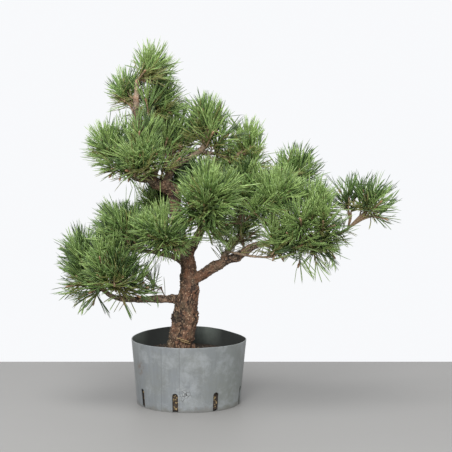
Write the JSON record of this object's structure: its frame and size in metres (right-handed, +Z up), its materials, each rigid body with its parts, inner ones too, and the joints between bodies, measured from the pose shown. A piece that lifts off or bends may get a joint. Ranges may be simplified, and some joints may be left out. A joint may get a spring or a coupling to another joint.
{
  "type": "potted mugo pine",
  "caption": "Small trained mugo pine with a leaning bare trunk, layered pads of paired needles and a long low bough to one side, in a cut-down round nursery pot filled with soil.",
  "frame": {"origin": "centre of the pot's flat underside", "axes": "+Z up; -Y is the front, from which the trunk leans and rises to the left and the long bough reaches to the right along +X"},
  "size_m": [0.6078, 0.2977, 0.6506],
  "materials": {
    "bark": "rough scaly bark",
    "needles": "satin green needles",
    "pot": "weathered matt, dusty",
    "soil": "crumbly, moist"
  },
  "bodies": {
    "root": {"bough_behind": "bark", "bough_centre": "bark", "bough_centre_back": "bark", "bough_centre_front": "bark", "bough_far_right_back": "bark", "bough_left": "bark", "bough_left_front": "bark", "bough_low_back": "bark", "bough_low_far": "bark", "bough_low_inner": "bark", "bough_low_left": "bark", "bough_low_left_front": "bark", "bough_middle": "bark", "bough_middle_right": "bark", "bough_right": "bark", "bough_right_front": "bark", "bough_right_outer": "bark", "bough_right_under": "bark", "bough_shelf": "bark", "bough_top_left": "bark", "bough_top_right": "bark", "bough_upper": "bark", "bough_upper_back": "bark", "bough_upper_left": "bark", "bough_upper_middle": "bark", "bough_upper_right": "bark", "needles_apex": "needles", "needles_behind": "needles", "needles_centre": "needles", "needles_centre_back": "needles", "needles_crown_right": "needles", "needles_far_right": "needles", "needles_left": "needles", "needles_left_back": "needles", "needles_left_front": "needles", "needles_low_back": "needles", "needles_low_inner": "needles", "needles_low_left": "needles", "needles_low_left_tip": "needles", "needles_middle": "needles", "needles_middle_right": "needles", "needles_right_back": "needles", "needles_right_low": "needles", "needles_right_outer": "needles", "needles_right_under": "needles", "needles_shelf": "needles", "needles_shoulder": "needles", "needles_top_left": "needles", "needles_top_right": "needles", "needles_upper_back": "needles", "needles_upper_left": "needles", "needles_upper_middle": "needles", "needles_upper_right": "needles", "pot": "pot", "soil": "soil", "trunk": "bark"}
  },
  "joints": []
}
